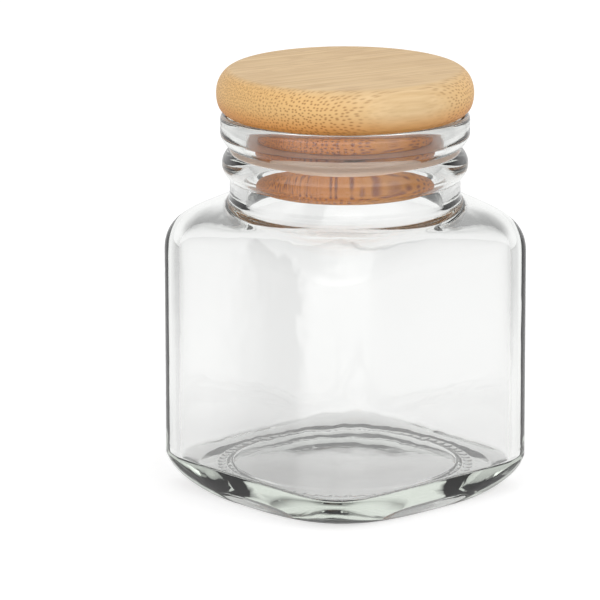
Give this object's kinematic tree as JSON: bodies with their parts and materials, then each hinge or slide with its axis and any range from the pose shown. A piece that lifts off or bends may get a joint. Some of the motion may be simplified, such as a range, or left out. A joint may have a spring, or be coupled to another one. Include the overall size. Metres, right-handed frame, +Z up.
{
  "type": "spice jar",
  "caption": "Square clear glass spice jar with soft corners, a beaded round neck and a turned bamboo stopper sealed by a silicone ring.",
  "frame": {"origin": "middle of the base, on the surface that the jar stands on", "axes": "+Z up through the neck and the stopper, X and Y square to the flat sides of the body"},
  "size_m": [0.05, 0.05, 0.075],
  "materials": {
    "glass": "clear polished soda-lime glass",
    "bamboo": "sanded laminated bamboo",
    "silicone": "translucent milky silicone"
  },
  "bodies": {
    "jar": {"glass_jar": "glass"},
    "stopper": {"bamboo_stopper": "bamboo", "seal_ring": "silicone"}
  },
  "joints": [
    {"name": "stopper_lift", "type": "slide", "parent": "jar", "child": "stopper", "axis": [0, 0, 1], "range_m": [0, 0.045]}
  ]
}
